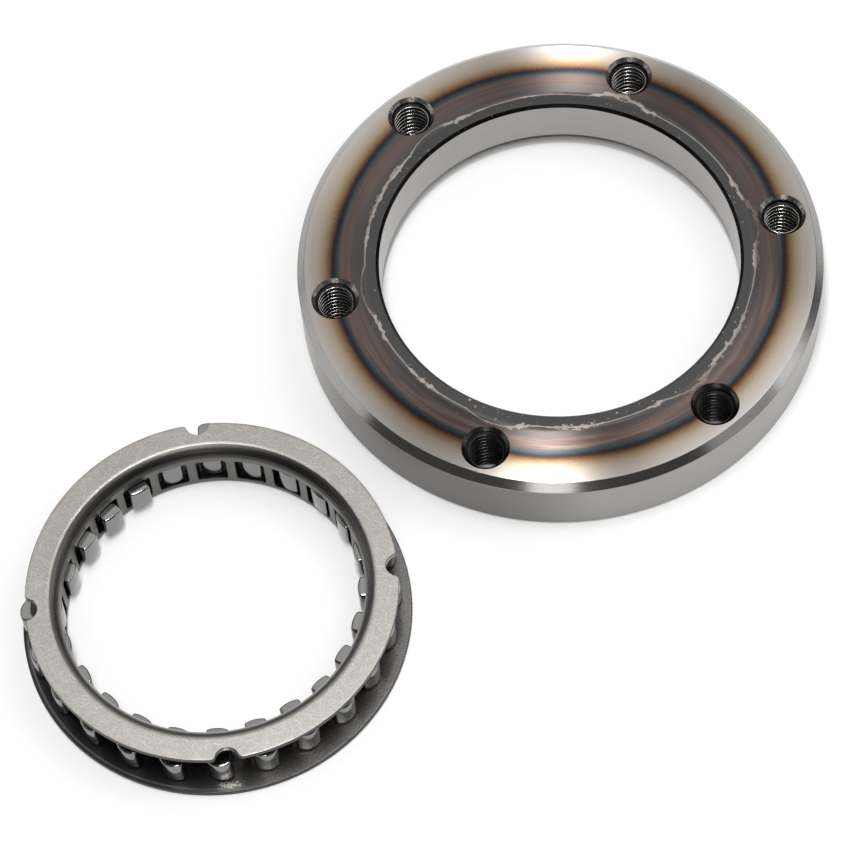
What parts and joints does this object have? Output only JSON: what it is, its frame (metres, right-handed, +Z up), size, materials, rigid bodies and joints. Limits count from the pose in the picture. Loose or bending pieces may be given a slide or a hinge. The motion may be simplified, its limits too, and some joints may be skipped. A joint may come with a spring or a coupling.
{
  "type": "one-way sprag clutch",
  "caption": "One-way clutch in two loose halves: a bevelled outer race with threaded through-holes, and a flanged sheet-steel cage whose ring of sprags rocks on a ribbon spring.",
  "frame": {"origin": "centre of the race's bolt circle, on its lower face, which is the plane that both halves stand on", "axes": "+Z up along the race's axis; the cage lies towards -X and -Y"},
  "size_m": [0.1626, 0.153, 0.014],
  "materials": {
    "race_steel": "turned steel with heat-tint bands from hardening",
    "cage_steel": "blasted satin sheet steel",
    "spring_steel": "dark tempered spring steel",
    "sprag_steel": "polished hardened steel"
  },
  "bodies": {
    "race": {"outer_race": "race_steel"},
    "cage": {"sprag_cage": "cage_steel", "ribbon_spring": "spring_steel"},
    "sprag_01": {"sprag_01": "sprag_steel"},
    "sprag_02": {"sprag_02": "sprag_steel"},
    "sprag_03": {"sprag_03": "sprag_steel"},
    "sprag_04": {"sprag_04": "sprag_steel"},
    "sprag_05": {"sprag_05": "sprag_steel"},
    "sprag_06": {"sprag_06": "sprag_steel"},
    "sprag_07": {"sprag_07": "sprag_steel"},
    "sprag_08": {"sprag_08": "sprag_steel"},
    "sprag_09": {"sprag_09": "sprag_steel"},
    "sprag_10": {"sprag_10": "sprag_steel"},
    "sprag_11": {"sprag_11": "sprag_steel"},
    "sprag_12": {"sprag_12": "sprag_steel"},
    "sprag_13": {"sprag_13": "sprag_steel"},
    "sprag_14": {"sprag_14": "sprag_steel"},
    "sprag_15": {"sprag_15": "sprag_steel"},
    "sprag_16": {"sprag_16": "sprag_steel"},
    "sprag_17": {"sprag_17": "sprag_steel"},
    "sprag_18": {"sprag_18": "sprag_steel"},
    "sprag_19": {"sprag_19": "sprag_steel"},
    "sprag_20": {"sprag_20": "sprag_steel"},
    "sprag_21": {"sprag_21": "sprag_steel"},
    "sprag_22": {"sprag_22": "sprag_steel"},
    "sprag_23": {"sprag_23": "sprag_steel"},
    "sprag_24": {"sprag_24": "sprag_steel"}
  },
  "joints": [
    {"name": "cage_lift", "type": "slide", "parent": "race", "child": "cage", "axis": [0, 0, 1], "range_m": [0, 0.03]},
    {"name": "sprag_01_tilt", "type": "hinge", "parent": "cage", "child": "sprag_01", "pos_m": [-0.04287, -0.05672, 0.00495], "axis": [0, 0, 1], "range_deg": [0, 6], "stiffness_Nm_per_rad": 0.0002},
    {"name": "sprag_02_tilt", "type": "hinge", "parent": "cage", "child": "sprag_02", "pos_m": [-0.04568, -0.04911, 0.00495], "axis": [0, 0, 1], "range_deg": [0, 6]},
    {"name": "sprag_03_tilt", "type": "hinge", "parent": "cage", "child": "sprag_03", "pos_m": [-0.05037, -0.04249, 0.00495], "axis": [0, 0, 1], "range_deg": [0, 6]},
    {"name": "sprag_04_tilt", "type": "hinge", "parent": "cage", "child": "sprag_04", "pos_m": [-0.05661, -0.03731, 0.00495], "axis": [0, 0, 1], "range_deg": [0, 6]},
    {"name": "sprag_05_tilt", "type": "hinge", "parent": "cage", "child": "sprag_05", "pos_m": [-0.06398, -0.03392, 0.00495], "axis": [0, 0, 1], "range_deg": [0, 6]},
    {"name": "sprag_06_tilt", "type": "hinge", "parent": "cage", "child": "sprag_06", "pos_m": [-0.07198, -0.03255, 0.00495], "axis": [0, 0, 1], "range_deg": [0, 6]},
    {"name": "sprag_07_tilt", "type": "hinge", "parent": "cage", "child": "sprag_07", "pos_m": [-0.08005, -0.0333, 0.00495], "axis": [0, 0, 1], "range_deg": [0, 6]},
    {"name": "sprag_08_tilt", "type": "hinge", "parent": "cage", "child": "sprag_08", "pos_m": [-0.08766, -0.03612, 0.00495], "axis": [0, 0, 1], "range_deg": [0, 6]},
    {"name": "sprag_09_tilt", "type": "hinge", "parent": "cage", "child": "sprag_09", "pos_m": [-0.09428, -0.0408, 0.00495], "axis": [0, 0, 1], "range_deg": [0, 6]},
    {"name": "sprag_10_tilt", "type": "hinge", "parent": "cage", "child": "sprag_10", "pos_m": [-0.09946, -0.04705, 0.00495], "axis": [0, 0, 1], "range_deg": [0, 6]},
    {"name": "sprag_11_tilt", "type": "hinge", "parent": "cage", "child": "sprag_11", "pos_m": [-0.10285, -0.05442, 0.00495], "axis": [0, 0, 1], "range_deg": [0, 6]},
    {"name": "sprag_12_tilt", "type": "hinge", "parent": "cage", "child": "sprag_12", "pos_m": [-0.10422, -0.06241, 0.00495], "axis": [0, 0, 1], "range_deg": [0, 6]},
    {"name": "sprag_13_tilt", "type": "hinge", "parent": "cage", "child": "sprag_13", "pos_m": [-0.10347, -0.07049, 0.00495], "axis": [0, 0, 1], "range_deg": [0, 6]},
    {"name": "sprag_14_tilt", "type": "hinge", "parent": "cage", "child": "sprag_14", "pos_m": [-0.10066, -0.0781, 0.00495], "axis": [0, 0, 1], "range_deg": [0, 6]},
    {"name": "sprag_15_tilt", "type": "hinge", "parent": "cage", "child": "sprag_15", "pos_m": [-0.09597, -0.08472, 0.00495], "axis": [0, 0, 1], "range_deg": [0, 6]},
    {"name": "sprag_16_tilt", "type": "hinge", "parent": "cage", "child": "sprag_16", "pos_m": [-0.08973, -0.0899, 0.00495], "axis": [0, 0, 1], "range_deg": [0, 6]},
    {"name": "sprag_17_tilt", "type": "hinge", "parent": "cage", "child": "sprag_17", "pos_m": [-0.08236, -0.09329, 0.00495], "axis": [0, 0, 1], "range_deg": [0, 6]},
    {"name": "sprag_18_tilt", "type": "hinge", "parent": "cage", "child": "sprag_18", "pos_m": [-0.07436, -0.09466, 0.00495], "axis": [0, 0, 1], "range_deg": [0, 6]},
    {"name": "sprag_19_tilt", "type": "hinge", "parent": "cage", "child": "sprag_19", "pos_m": [-0.06628, -0.09391, 0.00495], "axis": [0, 0, 1], "range_deg": [0, 6]},
    {"name": "sprag_20_tilt", "type": "hinge", "parent": "cage", "child": "sprag_20", "pos_m": [-0.05868, -0.09109, 0.00495], "axis": [0, 0, 1], "range_deg": [0, 6]},
    {"name": "sprag_21_tilt", "type": "hinge", "parent": "cage", "child": "sprag_21", "pos_m": [-0.05205, -0.08641, 0.00495], "axis": [0, 0, 1], "range_deg": [0, 6]},
    {"name": "sprag_22_tilt", "type": "hinge", "parent": "cage", "child": "sprag_22", "pos_m": [-0.04687, -0.08016, 0.00495], "axis": [0, 0, 1], "range_deg": [0, 6]},
    {"name": "sprag_23_tilt", "type": "hinge", "parent": "cage", "child": "sprag_23", "pos_m": [-0.04348, -0.07279, 0.00495], "axis": [0, 0, 1], "range_deg": [0, 6]},
    {"name": "sprag_24_tilt", "type": "hinge", "parent": "cage", "child": "sprag_24", "pos_m": [-0.04212, -0.0648, 0.00495], "axis": [0, 0, 1], "range_deg": [0, 6]}
  ],
  "couplings": [
    {"joint": "sprag_02_tilt", "follows": "sprag_01_tilt", "ratio": 1},
    {"joint": "sprag_03_tilt", "follows": "sprag_01_tilt", "ratio": 1},
    {"joint": "sprag_04_tilt", "follows": "sprag_01_tilt", "ratio": 1},
    {"joint": "sprag_05_tilt", "follows": "sprag_01_tilt", "ratio": 1},
    {"joint": "sprag_06_tilt", "follows": "sprag_01_tilt", "ratio": 1},
    {"joint": "sprag_07_tilt", "follows": "sprag_01_tilt", "ratio": 1},
    {"joint": "sprag_08_tilt", "follows": "sprag_01_tilt", "ratio": 1},
    {"joint": "sprag_09_tilt", "follows": "sprag_01_tilt", "ratio": 1},
    {"joint": "sprag_10_tilt", "follows": "sprag_01_tilt", "ratio": 1},
    {"joint": "sprag_11_tilt", "follows": "sprag_01_tilt", "ratio": 1},
    {"joint": "sprag_12_tilt", "follows": "sprag_01_tilt", "ratio": 1},
    {"joint": "sprag_13_tilt", "follows": "sprag_01_tilt", "ratio": 1},
    {"joint": "sprag_14_tilt", "follows": "sprag_01_tilt", "ratio": 1},
    {"joint": "sprag_15_tilt", "follows": "sprag_01_tilt", "ratio": 1},
    {"joint": "sprag_16_tilt", "follows": "sprag_01_tilt", "ratio": 1},
    {"joint": "sprag_17_tilt", "follows": "sprag_01_tilt", "ratio": 1},
    {"joint": "sprag_18_tilt", "follows": "sprag_01_tilt", "ratio": 1},
    {"joint": "sprag_19_tilt", "follows": "sprag_01_tilt", "ratio": 1},
    {"joint": "sprag_20_tilt", "follows": "sprag_01_tilt", "ratio": 1},
    {"joint": "sprag_21_tilt", "follows": "sprag_01_tilt", "ratio": 1},
    {"joint": "sprag_22_tilt", "follows": "sprag_01_tilt", "ratio": 1},
    {"joint": "sprag_23_tilt", "follows": "sprag_01_tilt", "ratio": 1},
    {"joint": "sprag_24_tilt", "follows": "sprag_01_tilt", "ratio": 1}
  ]
}
